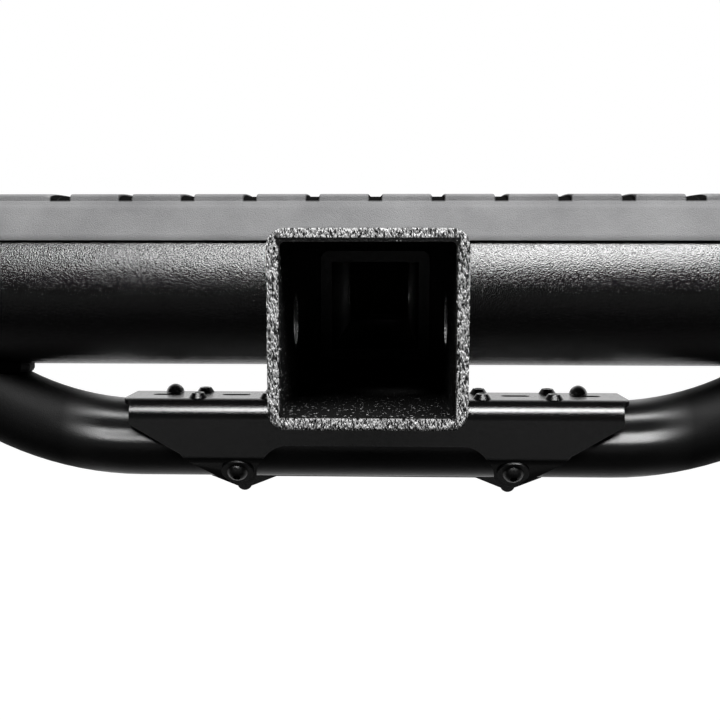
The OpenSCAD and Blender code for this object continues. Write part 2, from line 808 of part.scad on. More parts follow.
// Section of the weld between the right bend and the bar, at the angle a round the rung
function rung_bead(a) =
    let (
        p = seam_point(a), turn = seam_turn(a),
        n1 = [0, (p[1] - bar_y) / bar_r, (p[2] - bar_z) / bar_r],
        n2 = [cos(a) * sin(turn), sin(a), -cos(a) * cos(turn)],
        t1 = across(n2, n1), t2 = across(n1, n2), leg = bead_leg(t1, t2)
    )
    bead_section(p, n1, n2, on_bar(p + leg * t1, 1.5 * seam), on_bend(p + leg * t2, 1.5 * seam));

// Weld bead on the saddle-shaped seam between the right bend and the bar
module rung_weld() {
    sweep([for (a = [0 : 8 : 352]) rung_bead(a)], true);
}

module rung_weld_left() {
    color(black) mirror([1, 0, 0]) rung_weld();
}

module rung_weld_right() {
    color(black) rung_weld();
}

// Places round the receiver's section, each as its normal's angle and its X and Z,
// from the lower right corner over the top to the lower left corner
function receiver_places() =
    let (
        flat = receiver_w / 2 - receiver_corner_r,
        low = asin((-flat - bar_z) / bar_r),
        high = asin((flat - bar_z) / bar_r)
    )
    concat(
        [for (k = [0 : 5]) corner_place(-40 + 8 * k, flat, -flat)],
        [for (k = [1 : 12]) side_place(0, receiver_w / 2, low + (high - low) * k / 13)],
        [for (k = [0 : 5]) corner_place(18 * k, flat, flat)],
        [for (k = [0 : 5]) corner_place(90 + 18 * k, -flat, flat)],
        [for (k = [12 : -1 : 1]) side_place(180, -receiver_w / 2, low + (high - low) * k / 13)],
        [for (k = [0 : 5]) corner_place(180 + 8 * k, -flat, -flat)]
    );

// Place on the receiver's corner about x and z, where its normal has the given angle
function corner_place(angle, x, z) =
    [angle, x + receiver_corner_r * cos(angle), z + receiver_corner_r * sin(angle)];

// Place on the receiver's side at x, as high as the bar's skin at the given angle round the bar
function side_place(angle, x, bar_angle) = [angle, x, bar_z + bar_r * sin(bar_angle)];

// Section of the weld between the receiver and the bar's rear side, at one of those places
function receiver_bead(place) =
    let (
        p = [place[1], bar_y - sqrt(bar_r * bar_r - pow(place[2] - bar_z, 2)), place[2]],
        n1 = [0, (p[1] - bar_y) / bar_r, (p[2] - bar_z) / bar_r],
        n2 = [cos(place[0]), 0, sin(place[0])],
        t1 = across(n2, n1), t2 = across(n1, n2), leg = bead_leg(t1, t2)
    )
    bead_section(p, n1, n2, on_bar(p + leg * t1, 1.5 * seam), p + leg * t2 + 1.5 * seam * n2);

// Weld bead round the receiver on the bar's side away from the vehicle
module receiver_weld() {
    sweep([for (place = receiver_places()) receiver_bead(place)], false);
}

module receiver_weld_rear() {
    color(black) receiver_weld();
}

module receiver_weld_front() {
    color(black) translate([0, 2 * bar_y, 0]) mirror([0, 1, 0]) receiver_weld();
}

// Quarter-round bead round the shank where it leaves the receiver
module shank_weld() {
    leg = receiver_wall + socket_gap - 0.6;
    flat = shank_w / 2 - shank_corner_r;
    color(black)
    translate([0, tail_y + seam, 0]) rotate([-90, 0, 0])
    for (turn = [0, 90, 180, 270]) {
        rotate([0, 0, turn]) {
            translate([shank_w / 2 + seam, flat, 0]) rotate([90, 0, 0])
                linear_extrude(2 * flat) quarter_round(leg);
            translate([flat, flat, 0]) rotate_extrude(angle = 90)
                translate([shank_corner_r + seam, 0]) quarter_round(leg);
        }
    }
}

// Quarter of a disc with its corner at the origin
module quarter_round(r) {
    intersection() {
        circle(r = r);
        square(r);
    }
}

receiver_tube();
hitch_shank();
shank_plug();
main_tube();
end_cap_left();
end_cap_right();
step_pad();
pad_screws();
lower_tube();
tread_bracket();
tread_screw_left();
tread_screw_right();
ear_screw_left();
ear_screw_right();
ear_washer_left();
ear_washer_right();
rivet_nut_left();
rivet_nut_right();
receiver_weld_rear();
receiver_weld_front();
shank_weld();
rung_weld_left();
rung_weld_right();
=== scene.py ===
"""Looks of a hitch receiver step, in the order in which it is put together: shank, receiver,
step bar, tread pad, lower rung, folded tread, fasteners and welds, then the studio.
Lengths are in metres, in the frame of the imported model."""

import math

import bmesh
import bpy
import numpy as np
from mathutils import Matrix, Vector


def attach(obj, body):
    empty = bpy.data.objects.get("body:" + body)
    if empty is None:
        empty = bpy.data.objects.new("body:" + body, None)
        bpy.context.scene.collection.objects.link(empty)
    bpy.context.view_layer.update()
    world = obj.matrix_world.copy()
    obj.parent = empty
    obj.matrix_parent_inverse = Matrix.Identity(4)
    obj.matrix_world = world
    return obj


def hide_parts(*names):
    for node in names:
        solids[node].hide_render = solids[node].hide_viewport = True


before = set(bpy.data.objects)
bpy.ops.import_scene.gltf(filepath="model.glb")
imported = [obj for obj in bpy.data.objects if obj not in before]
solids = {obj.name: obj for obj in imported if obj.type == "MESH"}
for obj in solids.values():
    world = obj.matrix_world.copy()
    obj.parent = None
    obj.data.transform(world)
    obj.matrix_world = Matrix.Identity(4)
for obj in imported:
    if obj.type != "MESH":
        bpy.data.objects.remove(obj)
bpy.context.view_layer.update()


# Hitch shank
# Square steel tube that goes into the vehicle's receiver. It is sprayed with black powder,
# which melts in an oven to a hard coat with a fine, even grain.

COAT_GRAIN = 0.0009
COAT_INDEX = 2.4
FINER_BY = 1.7
TONE_CHANGES_PER_METRE = 28.0
TONE_RANGE = (0.3, 0.7)
FLECK_RANGE = (0.52, 0.72)
EDGE_ROUND = 0.0007
EDGE_SAMPLES = 4
WORN_RANGE = (0.4, 0.62)
COLOUR_INPUTS = (6, 7)
COLOUR_OUTPUT = 2


def grey(level, blue=None):
    """Opaque grey, with a blue of its own where one is given."""
    return (level, level, level if blue is None else blue, 1.0)


def wire(tree, source, target):
    """Link from a source to an input. A source is a socket, (node, name or number), or a node
    alone, which stands for its first output; an input is given in the last two ways."""
    if not isinstance(source, bpy.types.NodeSocket):
        node, label = source if isinstance(source, tuple) else (source, 0)
        source = node.outputs[label]
    node, label = target if isinstance(target, tuple) else (target, 0)
    tree.links.new(source, node.inputs[label])


def put(tree, value, node, label):
    """Sets an input to a number, or links it to a source."""
    if isinstance(value, (int, float)):
        node.inputs[label].default_value = value
    else:
        wire(tree, value, (node, label))


def maths(tree, kind, first, second=None):
    """Math node of the given kind, on one or two numbers or sources."""
    node = tree.nodes.new("ShaderNodeMath")
    node.operation = kind
    put(tree, first, node, 0)
    if second is not None:
        put(tree, second, node, 1)
    return node


def product(tree, *factors):
    """Product of two or more numbers or sources."""
    total = factors[0]
    for factor in factors[1:]:
        total = maths(tree, "MULTIPLY", total, factor)
    return total


def ramp(tree, source, low, high, to_low=0.0, to_high=1.0):
    """Map Range node that takes low..high to to_low..to_high and clamps what lies outside."""
    node = tree.nodes.new("ShaderNodeMapRange")
    wire(tree, source, (node, "Value"))
    node.inputs["From Min"].default_value = low
    node.inputs["From Max"].default_value = high
    node.inputs["To Min"].default_value = to_low
    node.inputs["To Max"].default_value = to_high
    return node


def falling(tree, source, low, high):
    """Mask that is 1 up to low and 0 from high on."""
    return ramp(tree, source, low, high, 1.0, 0.0)


def noise(tree, coords, scale, detail, rough=0.5):
    """Noise texture on the given coordinates, with a scale that is a number or a source."""
    node = tree.nodes.new("ShaderNodeTexNoise")
    wire(tree, coords, (node, "Vector"))
    put(tree, scale, node, "Scale")
    node.inputs["Detail"].default_value = detail
    node.inputs["Roughness"].default_value = rough
    return node


def object_place(tree):
    """Object coordinates, as a source, and a node that splits them into X, Y and Z."""
    coords = tree.nodes.new("ShaderNodeTexCoord")
    split = tree.nodes.new("ShaderNodeSeparateXYZ")
    wire(tree, (coords, "Object"), split)
    return (coords, "Object"), split


def named_group(name, inputs, outputs):
    """Empty shader node group, whose float inputs are (name, value) and outputs are names."""
    group = bpy.data.node_groups.new(name, "ShaderNodeTree")
    for label, value in inputs:
        socket = group.interface.new_socket(label, in_out="INPUT", socket_type="NodeSocketFloat")
        socket.default_value = value
    for label in outputs:
        group.interface.new_socket(label, in_out="OUTPUT", socket_type="NodeSocketFloat")
    return group, group.nodes.new("NodeGroupInput"), group.nodes.new("NodeGroupOutput")


def make_grain_group():
    """Grain of a surface: height of small round pimples mixed with a finer noise, slow changes of
    tone, and flecks. Pimples are one minus the distance to the nearest of scattered points."""
    group, start, end = named_group(
        "surface_grain", [("Size", COAT_GRAIN), ("Pimples", 0.5)], ["Height", "Tone", "Fleck"],
    )
    place, _ = object_place(group)
    per_metre = maths(group, "DIVIDE", 1.0, (start, "Size"))
    cells = group.nodes.new("ShaderNodeTexVoronoi")
    wire(group, place, (cells, "Vector"))
    wire(group, per_metre, (cells, "Scale"))
    fine = noise(group, place, product(group, per_metre, FINER_BY), 3.0)
    dome = maths(group, "SUBTRACT", 1.0, (cells, "Distance"))
    height = maths(group, "ADD", product(group, dome, (start, "Pimples")), fine)
    wire(group, height, (end, "Height"))
    slow = noise(group, place, TONE_CHANGES_PER_METRE, 4.0, 0.6)
    wire(group, ramp(group, slow, *TONE_RANGE), (end, "Tone"))
    wire(group, ramp(group, fine, *FLECK_RANGE), (end, "Fleck"))
    return group


def make_edge_group():
    """Mask of sharp edges: how far the normal turns when edges are rounded by a small radius,
    broken up by noise so that the coat looks thinner here and there."""
    group, start, end = named_group(
        "edge_mask", [("Sharpness", 6.0), ("Patches", 120.0)], ["Mask"],
    )
    rounded = group.nodes.new("ShaderNodeBevel")
    rounded.samples = EDGE_SAMPLES
    rounded.inputs["Radius"].default_value = EDGE_ROUND
    shape = group.nodes.new("ShaderNodeNewGeometry")
    turn = group.nodes.new("ShaderNodeVectorMath")
    turn.operation = "DOT_PRODUCT"
    wire(group, rounded, (turn, 0))
    wire(group, (shape, "Normal"), (turn, 1))
    away = maths(group, "SUBTRACT", 1.0, (turn, "Value"))
    place, _ = object_place(group)
    patch = noise(group, place, (start, "Patches"), 3.0)
    worn = product(group, away, (start, "Sharpness"), ramp(group, patch, *WORN_RANGE))
    worn.use_clamp = True
    wire(group, worn, (end, "Mask"))
    return group


GRAIN = make_grain_group()
EDGES = make_edge_group()


def place_group(tree, group, values):
    """Group node in a material, with its values by name."""
    node = tree.nodes.new("ShaderNodeGroup")
    node.node_tree = group
    for label, value in values.items():
        node.inputs[label].default_value = value
    return node


def colour_mix(tree, mask, first, second):
    """Mix of two colours by a mask, as a socket. Each colour is RGBA values or a socket. A Mix
    node has inputs and outputs for each type of data, so those for colours go by number."""
    node = tree.nodes.new("ShaderNodeMix")
    node.data_type = "RGBA"
    wire(tree, mask, (node, "Factor"))
    for label, colour in zip(COLOUR_INPUTS, (first, second)):
        if isinstance(colour, tuple):
            node.inputs[label].default_value = colour
        else:
            wire(tree, colour, (node, label))
    return node.outputs[COLOUR_OUTPUT]


def feed_of(shader, label):
    """Socket that feeds an input of a shader."""
    return shader.inputs[label].links[0].from_socket


def coated(name, dark, light, edge, grain, pimples, depth, gloss, sharpness, index=1.5):
    """Finish of a coated or moulded surface: two close tones, lighter edges, a grain bump, a
    roughness that runs between the two values of gloss, and an index of refraction."""
    material = bpy.data.materials.new(name)
    material.use_nodes = True
    tree = material.node_tree
    shader = tree.nodes["Principled BSDF"]
    shader.inputs["IOR"].default_value = index
    skin = place_group(tree, GRAIN, {"Size": grain, "Pimples": pimples})
    rim = place_group(tree, EDGES, {"Sharpness": sharpness})
    tone = colour_mix(tree, (skin, "Tone"), dark, light)
    wire(tree, colour_mix(tree, (rim, "Mask"), tone, edge), (shader, "Base Color"))
    wire(tree, ramp(tree, (skin, "Fleck"), 0.0, 1.0, *gloss), (shader, "Roughness"))
    bump = tree.nodes.new("ShaderNodeBump")
    bump.inputs["Strength"].default_value = 1.0
    bump.inputs["Distance"].default_value = depth
    wire(tree, (skin, "Height"), (bump, "Height"))
    wire(tree, bump, (shader, "Normal"))
    return material


def dress(material, *names):
    """Puts a material on every slot of the named solids."""
    for name in names:
        mesh = solids[name].data
        mesh.materials.clear()
        mesh.materials.append(material)


powder_black = coated(
    "powder_black", dark=grey(0.007, 0.0072), light=grey(0.011, 0.0112), edge=grey(0.03, 0.031),
    grain=COAT_GRAIN, pimples=0.5, depth=0.0002, gloss=(0.38, 0.5), sharpness=3.0,
    index=COAT_INDEX,
)
dress(powder_black, "hitch_shank")


# Shank plug and bar plugs
# Moulded black plugs, pressed into the open tube ends by the ribs on their skirts. The mould
# leaves a fine matt grain, without a coat.

moulded_black = coated(
    "moulded_black", dark=grey(0.012), light=grey(0.018), edge=grey(0.03),
    grain=0.0006, pimples=0.2, depth=0.00006, gloss=(0.5, 0.62), sharpness=2.0,
)
dress(moulded_black, "shank_plug", "end_cap_left", "end_cap_right")


# Receiver tube
# Square steel tube, sawn off at the mouth. The cut is rough, pale steel on the crests of its
# ridges, with painted light where they face up and painted shade where they face down and in
# the pits. The first stretch inside it is scattered with pale specks.

MOUTH_Y = -0.377
MOUTH_ROUND = 0.0017
MOUTH_SAMPLES = 8
CUT_DEPTH = 0.0016
SOCKET_HALF = 0.026
CORNER = 0.002
TOP_EDGE_SHADE = 0.0008
SPARED = 0.0003
MASK_BLUR = 0.0004
INNER_EDGE = 0.0002
DULL_EDGE = 0.0009
PIN_Y = -0.327
PIN_R = 0.00825
RING_WIDTH = 0.0022
RIDGE_SLANT = math.radians(-38.0)
RIDGE_SHORTEN = 0.3
RIDGES_PER_METRE = 2200.0
RIDGE_RANGE = (0.43, 0.48)
RIDGE_DEPTH = 0.0018
LIT_FACING_RANGE = (-0.5, 0.05)
LIT_FACING_SHARE = (0.15, 1.0)
LUMPS_PER_METRE = 420.0
LUMP_SHARE = 0.3
SPECKLE_PER_METRE = 900.0
SPECKLE_RANGE = (0.68, 0.74)
SPECKLE_REACH = 0.07
STREAK_RANGE = (0.45, 0.6)
BARE_STEEL = grey(0.93)
# Near black of the painted shade on the cut.
PIT_SHADE = grey(0.02)
SPECK = grey(0.8)
SHINE = 0.5
INSIDE_SHINE = 0.06
VECTOR_INPUTS = (4, 5)
VECTOR_OUTPUT = 1


def rough_mouth():
    """Finish of the receiver. On the cut, short slanted ridges lie over edges that look rolled
    over. Their crests are pale steel, with painted light where they face up; the pits, the crests
    that face down and the top inner edge get painted shade. Pale specks lie inside, fewer with
    the depth from the mouth, and pale streaks in a ring round the pin holes, by the distance from
    their axis."""
    material = coated(
        "receiver_coat", dark=grey(0.006), light=grey(0.01), edge=grey(0.03),
        grain=COAT_GRAIN, pimples=0.5, depth=0.0002, gloss=(0.4, 0.52), sharpness=3.0,
        index=COAT_INDEX,
    )
    tree = material.node_tree
    shader = tree.nodes["Principled BSDF"]
    place, split = object_place(tree)
    tall = maths(tree, "ABSOLUTE", (split, "Z"))
    outer = maths(tree, "MAXIMUM", maths(tree, "ABSOLUTE", (split, "X")), tall)
    # The top inner edge is held out of the pale cut, so it stays dark: painted shade under that
    # edge.
    top_edge_shade = ramp(tree, (split, "Z"), SOCKET_HALF - CORNER, SOCKET_HALF, 0.0, TOP_EDGE_SHADE)
    drawn_in = maths(tree, "SUBTRACT", outer, top_edge_shade)
    cut_from = SOCKET_HALF + SPARED
    face = ramp(tree, drawn_in, cut_from, cut_from + MASK_BLUR)
    cut = product(tree, falling(tree, (split, "Y"), MOUTH_Y, MOUTH_Y + CUT_DEPTH), face)

    slant = tree.nodes.new("ShaderNodeMapping")
    wire(tree, place, (slant, "Vector"))
    slant.inputs["Rotation"].default_value = (0.0, RIDGE_SLANT, 0.0)
    slant.inputs["Scale"].default_value = (1.0, 1.0, RIDGE_SHORTEN)
    ridges = noise(tree, slant, RIDGES_PER_METRE, 1.0, 0.6)
    lumps = noise(tree, place, LUMPS_PER_METRE, 2.0)
    height = maths(tree, "ADD", ridges, product(tree, lumps, LUMP_SHARE))
    rolled = tree.nodes.new("ShaderNodeBevel")
    rolled.samples = MOUTH_SAMPLES
    rolled.inputs["Radius"].default_value = MOUTH_ROUND
    rough = tree.nodes.new("ShaderNodeBump")
    rough.inputs["Strength"].default_value = 1.0
    rough.inputs["Distance"].default_value = RIDGE_DEPTH
    wire(tree, height, (rough, "Height"))
    wire(tree, rolled, (rough, "Normal"))
    facing = tree.nodes.new("ShaderNodeSeparateXYZ")
    wire(tree, rolled, facing)
    # Crests are pale only where the rounded normal faces up: painted light on them, and painted
    # shade on those that face down and in the pits.
    lit_from_above = ramp(tree, (facing, "Z"), *LIT_FACING_RANGE, *LIT_FACING_SHARE)
    crests = product(tree, ramp(tree, ridges, *RIDGE_RANGE), lit_from_above)
    bare_and_lit = colour_mix(tree, crests, PIT_SHADE, BARE_STEEL)

    # Pale specks on the inner walls, fewer with the depth from the mouth, and pale streaks in a
    # ring round the pin holes.
    speckle = ramp(tree, noise(tree, place, SPECKLE_PER_METRE, 1.0), *SPECKLE_RANGE)
    depth = falling(tree, (split, "Y"), MOUTH_Y, MOUTH_Y + SPECKLE_REACH)
    wall = SOCKET_HALF + INNER_EDGE
    inner = falling(tree, outer, wall, wall + MASK_BLUR)
    inner_speckle = product(tree, speckle, depth, inner)
    along = maths(tree, "ABSOLUTE", maths(tree, "SUBTRACT", (split, "Y"), PIN_Y))
    squares = maths(
        tree, "ADD", maths(tree, "POWER", along, 2.0), maths(tree, "POWER", tall, 2.0),
    )
    ring = falling(tree, maths(tree, "SQRT", squares), PIN_R + MASK_BLUR, PIN_R + RING_WIDTH)
    streak = product(tree, ring, inner, ramp(tree, ridges, *STREAK_RANGE))
    pale = maths(tree, "MAXIMUM", inner_speckle, streak)
    specked = colour_mix(tree, pale, feed_of(shader, "Base Color"), SPECK)
    wire(tree, colour_mix(tree, cut, specked, bare_and_lit), (shader, "Base Color"))

    shiny_from = SOCKET_HALF + DULL_EDGE
    inside = falling(tree, outer, shiny_from, shiny_from + MASK_BLUR)
    dull = product(tree, depth, inside)
    wire(tree, ramp(tree, dull, 0.0, 0.5, SHINE, INSIDE_SHINE), (shader, "Specular IOR Level"))
    bent = tree.nodes.new("ShaderNodeMix")
    bent.data_type = "VECTOR"
    wire(tree, cut, (bent, "Factor"))
    wire(tree, feed_of(shader, "Normal"), (bent, VECTOR_INPUTS[0]))
    wire(tree, rough, (bent, VECTOR_INPUTS[1]))
    wire(tree, (bent, VECTOR_OUTPUT), (shader, "Normal"))
    return material


dress(rough_mouth(), "receiver_tube")


# Step bar
# Round steel tube across the receiver, with a black powder coat like the shank's, but darker
# and glossier. Its fine grain breaks the long highlight under the pad.

BAR_Y = -0.188
BAR_Z = 0.0081

bar_coat = coated(
    "bar_coat", dark=grey(0.001), light=grey(0.002, 0.0021), edge=grey(0.006),
    grain=0.0008, pimples=0.6, depth=0.00021, gloss=(0.17, 0.25), sharpness=2.0, index=2.25,
)
dress(bar_coat, "main_tube")


# Tread pad
# One moulding in grey plastic that hugs the bar, held by four screws in round recesses. Grooves
# cut its top into blocks, and the two outer ones run out in a ramp. Its lips clear the receiver.

PAD_HALF = 0.19
PAD_LIP_H = 0.022
PAD_LIP_T = 0.0024
PAD_LIP_FACE = 0.0006
PAD_LIP_ROUND = 0.0005
PAD_BODY_H = 0.0403
PAD_BLOCK = 0.0043
PAD_CAMBER = 0.0013
PAD_TOP_Y = 0.025
PAD_SET = 0.0009
PAD_BAND = 0.0024
PAD_BAND_STEP = 0.0003
PAD_BAND_EASE = 0.0004
PAD_SHY = 0.0002
PAD_EDGE = 0.0012
PAD_END_SLOPE = 0.005
PAD_END_REACH = 0.008
PAD_INNER_R = 0.0382
GROOVE_PITCH = 0.029
GROOVE_COUNT = 11
GROOVE_FOOT = 0.0022
GROOVE_FLARE = 0.0014
GROOVE_RAMP = 0.0055
GROOVE_WEB = 0.7
GROOVE_SOFT = 0.0008
# Colour of the painted shade in the grooves.
GROOVE_SHADE = grey(0.008)
RECESS_R = 0.00625
RECESS_EASE = 0.0005
NOTCH_HALF = 0.0365
NOTCH_H = 0.0267
NOTCH_EASE = 0.0024
LIP_Y = math.sqrt(PAD_INNER_R ** 2 - PAD_LIP_H ** 2) + PAD_LIP_T
LAST_GROOVE = GROOVE_COUNT // 2
PAD_SCREW_X = (-0.172, -0.0725, 0.0725, 0.172)
PAD_SHINE = 0.25
SMOOTH_BELOW_DEGREES = 35
TOP_POINTS = 97
ARC_POINTS = 40


def soft_step(x):
    """Rises from 0 to 1 as x does, level at both ends."""
    x = np.clip(x, 0.0, 1.0)
    return x * x * (3.0 - 2.0 * x)


def groove_depth(x):
    """How much of the block layer is missing at each x: 1 on a groove's floor, 0 on a block,
    with sloped sides, and a long ramp on the outer side of the two end grooves."""
    k = np.clip(np.round(x / GROOVE_PITCH), -LAST_GROOVE, LAST_GROOVE)
    off = x - k * GROOVE_PITCH
    outward = off * np.sign(k)
    wall = np.where((np.abs(k) == LAST_GROOVE) & (outward > 0), GROOVE_RAMP, GROOVE_FLARE)
    side = 1.0 - (np.abs(off) - GROOVE_FOOT) / wall
    return np.where(wall > GROOVE_FLARE, np.clip(side, 0.0, 1.0), soft_step(side))


def stations(step, marks, reach, fine):
    """Places along the pad, step apart, and fine apart within reach of each mark."""
    rows = [np.arange(-PAD_HALF, PAD_HALF, step), [PAD_HALF]]
    rows += [np.arange(m - reach, m + reach + fine / 2, fine) for m in marks]
    places = np.unique(np.round(np.concatenate(rows), 6))
    return places[(places >= -PAD_HALF) & (places <= PAD_HALF)]


def closed_mesh(name, grid):
    """Object of quads over a grid of points, whose second axis closes on itself, with a
    many-sided face over each end of the first axis."""
    rows, cols = grid.shape[:2]
    a, b = np.meshgrid(np.arange(rows - 1), np.arange(cols), indexing="ij")
    after = (b + 1) % cols
    corners = [a * cols + b, (a + 1) * cols + b, (a + 1) * cols + after, a * cols + after]
    faces = np.stack(corners, -1).reshape(-1, 4).tolist()
    faces.append(list(range(cols)))
    faces.append(list(range(rows * cols - 1, (rows - 1) * cols - 1, -1)))
    mesh = bpy.data.meshes.new(name)
    mesh.from_pydata(grid.reshape(-1, 3).tolist(), [], faces)
    mesh.update()
    piece = bpy.data.objects.new(name, mesh)
    bpy.context.collection.objects.link(piece)
    return piece


def face_outwards(piece):
    """Turns every face outwards, by the mesh's own closed shape."""
    form = bmesh.new()
    form.from_mesh(piece.data)
    bmesh.ops.recalc_face_normals(form, faces=form.faces)
    form.to_mesh(piece.data)
    form.free()


def shade_by_angle(piece, degrees):
    """Smooth shading, with edges sharper than the angle kept sharp."""
    bpy.context.view_layer.objects.active = piece
    piece.select_set(True)
    bpy.ops.object.shade_smooth_by_angle(angle=math.radians(degrees))
    piece.select_set(False)


def pad_grid():
    """Points of the pad: stations along X times a loop round its section. The loop climbs the
    near side from lip to shoulder, crosses the block layer, goes down the far side, and comes
    back on an arc round the bar. Grooves, recesses and the notch move its points up or down."""
    groove_x = [k * GROOVE_PITCH for k in range(-LAST_GROOVE, LAST_GROOVE + 1)]
    along = np.unique(np.concatenate([
        stations(step=0.004, marks=groove_x, reach=0.0044, fine=0.00035),
        stations(step=0.05, marks=PAD_SCREW_X, reach=0.0068, fine=0.0004),
        stations(step=0.05, marks=[-NOTCH_HALF, NOTCH_HALF], reach=0.003, fine=0.0003),
        stations(step=0.05, marks=[-PAD_HALF, PAD_HALF], reach=0.003, fine=0.0005),
    ]))

    side = np.concatenate([np.linspace(0.0, 0.88, 12), np.linspace(0.9, 1.0, 9)])
    across = np.sin(np.linspace(-1.0, 1.0, TOP_POINTS) * math.pi / 2)
    arc = np.linspace(0.0, 1.0, ARC_POINTS)
    lift = soft_step((NOTCH_HALF + NOTCH_EASE / 2 - np.abs(along)) / NOTCH_EASE)
    low = PAD_LIP_H + (NOTCH_H - PAD_LIP_H) * lift

    slope = (LIP_Y - PAD_TOP_Y - PAD_SET) / (PAD_BODY_H - PAD_LIP_H - PAD_LIP_FACE)
    h_side = low[:, None] + side[None, :] * (PAD_BODY_H - PAD_SHY - low[:, None])
    y_side = LIP_Y - np.clip(h_side - PAD_LIP_H - PAD_LIP_FACE, 0.0, None) * slope
    band_foot = PAD_BODY_H - PAD_BAND
    band_y = LIP_Y - (band_foot - PAD_LIP_H - PAD_LIP_FACE) * slope - PAD_BAND_STEP
    band = band_y - (h_side - band_foot) / PAD_BAND * (band_y - PAD_TOP_Y - PAD_SHY)
    y_side = y_side + (band - y_side) * soft_step((h_side - band_foot) / PAD_BAND_EASE)
    y_side = y_side - PAD_LIP_ROUND * (1.0 - np.minimum(1.0, side * 14))[None, :]

    rim = np.clip((np.abs(across) * PAD_TOP_Y - PAD_TOP_Y + PAD_EDGE) / PAD_EDGE, 0.0, 1.0)
    round_off = PAD_EDGE * (1.0 - np.sqrt(1.0 - rim ** 2))
    layer = PAD_BLOCK - PAD_CAMBER * across ** 2 - round_off
    y_top = across * PAD_TOP_Y
    web = GROOVE_WEB * (1.0 - across ** 6)
    gone = groove_depth(along)[:, None] * (1.0 - web)[None, :]
    for x in PAD_SCREW_X:
        reach = np.hypot(along[:, None] - x, y_top[None, :])
        gone = np.maximum(gone, soft_step((RECESS_R + 0.0002 - reach) / RECESS_EASE))
    h_top = PAD_BODY_H + layer[None, :] * (1.0 - gone)
    y_top = np.broadcast_to(y_top[None, :], h_top.shape)

    foot = np.arcsin(low / PAD_INNER_R)
    turn = foot[:, None] + arc[None, :] * (math.pi - 2.0 * foot[:, None])
    y_in = PAD_INNER_R * np.cos(turn)
    h_in = PAD_INNER_R * np.sin(turn)

    shoulder = np.full((len(along), 1), PAD_BODY_H)
    near = np.full((len(along), 1), -PAD_TOP_Y)
    y = np.concatenate([-y_side, near, y_top, -near, y_side[:, ::-1], y_in], axis=1)
    h = np.concatenate([h_side, shoulder, h_top, shoulder, h_side[:, ::-1], h_in], axis=1)
    inset = PAD_END_SLOPE * (h - PAD_LIP_H) / (PAD_BODY_H + PAD_BLOCK - PAD_LIP_H)
    tail = np.clip((np.abs(along) - (PAD_HALF - PAD_END_REACH)) / PAD_END_REACH, 0.0, 1.0)
    x = along[:, None] - np.sign(along)[:, None] * inset * tail[:, None]
    return np.stack([x, BAR_Y + y, BAR_Z + h], axis=-1)


def grooved_grey():
    """Finish of the pad: fine grained grey plastic, with painted shade in the grooves, darkest
    low down, where their shine is also taken away. The grooves are found by the distance from the
    nearest multiple of the pitch along X, and the end ramps by X alone, both only above the
    pad's body."""
    material = coated(
        "pad_grey", dark=grey(0.22, 0.224), light=grey(0.31, 0.314), edge=grey(0.33, 0.335),
        grain=0.0006, pimples=0.4, depth=0.0003, gloss=(0.5, 0.66), sharpness=1.0,
    )
    tree = material.node_tree
    shader = tree.nodes["Principled BSDF"]
    _, split = object_place(tree)
    turns = maths(tree, "ADD", maths(tree, "DIVIDE", (split, "X"), GROOVE_PITCH), 0.5)
    part = maths(tree, "SUBTRACT", maths(tree, "FRACT", turns), 0.5)
    off = product(tree, maths(tree, "ABSOLUTE", part), GROOVE_PITCH)
    mouth = GROOVE_FOOT + GROOVE_FLARE
    near = falling(tree, off, mouth - GROOVE_SOFT, mouth)
    out = maths(tree, "ABSOLUTE", (split, "X"))
    past = maths(tree, "SUBTRACT", out, GROOVE_PITCH * LAST_GROOVE)
    end_ramp = ramp(tree, past, GROOVE_FOOT + GROOVE_SOFT / 2, GROOVE_FOOT + GROOVE_SOFT)
    ramp_end = GROOVE_FOOT + GROOVE_RAMP - 0.001
    before_end = falling(tree, past, ramp_end - GROOVE_SOFT, ramp_end)
    spot = product(tree, maths(tree, "MAXIMUM", near, end_ramp), before_end)
    body = BAR_Z + PAD_BODY_H
    high = ramp(tree, (split, "Z"), body - 0.0006, body + 0.0002)
    # Painted shade in the grooves and end ramps, full low down and weaker towards the block tops.
    deep = ramp(tree, (split, "Z"), body + 0.003, body + PAD_BLOCK, 1.0, 0.4)
    shaded = product(tree, spot, high, deep)
    colour = colour_mix(tree, shaded, feed_of(shader, "Base Color"), GROOVE_SHADE)
    wire(tree, colour, (shader, "Base Color"))
    wire(tree, ramp(tree, shaded, 0.0, 0.6, PAD_SHINE, 0.0), (shader, "Specular IOR Level"))
    return material


pad = closed_mesh("tread_pad", pad_grid())
face_outwards(pad)
shade_by_angle(pad, SMOOTH_BELOW_DEGREES)
pad.data.materials.append(grooved_grey())
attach(pad, "root")
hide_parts("step_pad")


# Lower rung
# Bent steel tube with a smooth satin coat, finer than the bar's. It shows two soft highlights
# beside the tread, parted by a shallow crease, and is dull further up its bends.

RUNG_AXIS_Z = -0.06675
RUNG_STRAIGHT = 0.116
RUNG_BEND_R = 0.148
CREASE_RISE = 0.0066
CREASE_DEPTH = 0.0026
CREASE_WIDTH = 0.0046
CREASE_FADE = (0.128, 0.162)
DULL_FADE = (0.13, 0.152)
DULL_ROUGHER = 0.3
DULL_SHINE = 0.12

satin_black = coated(
    "satin_black", dark=grey(0.002, 0.0021), light=grey(0.004, 0.0042), edge=grey(0.01),
    grain=0.0006, pimples=0.3, depth=0.0001, gloss=(0.29, 0.37), sharpness=2.0, index=1.9,
)


